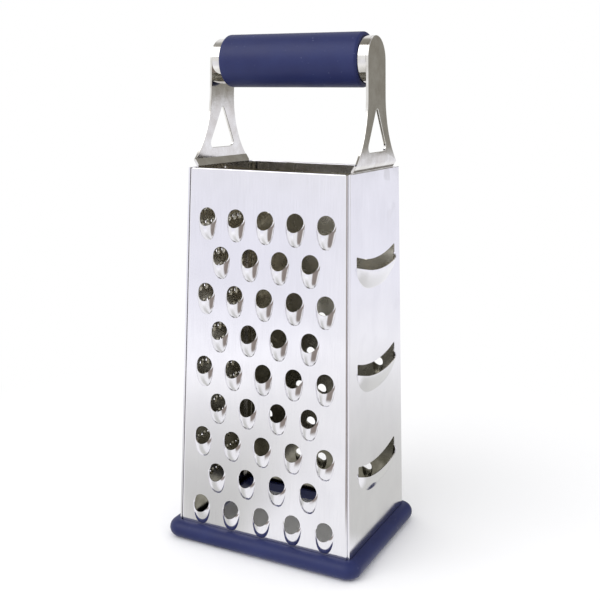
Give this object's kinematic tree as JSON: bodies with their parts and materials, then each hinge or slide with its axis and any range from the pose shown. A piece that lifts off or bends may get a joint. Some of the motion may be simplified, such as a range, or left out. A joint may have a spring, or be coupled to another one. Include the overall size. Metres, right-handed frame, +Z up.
{
  "type": "box grater",
  "caption": "Four-sided stainless box grater with coarse, medium, fine and slicing sides, a bar handle with a soft grip and a soft base ring.",
  "frame": {"origin": "middle of the footprint, on the table plane", "axes": "+Z up through the handle, +X towards the slicing side, the coarse side faces -Y"},
  "size_m": [0.1064, 0.0824, 0.2497],
  "materials": {
    "steel": "satin",
    "polished_steel": "polished",
    "soft_navy": "matte"
  },
  "bodies": {
    "root": {"front_panel": "steel", "slicer_panel": "steel", "back_panel": "steel", "fine_panel": "steel", "base_ring": "soft_navy", "left_strap": "polished_steel", "right_strap": "polished_steel", "handle_tube": "polished_steel", "grip_sleeve": "soft_navy"}
  },
  "joints": []
}
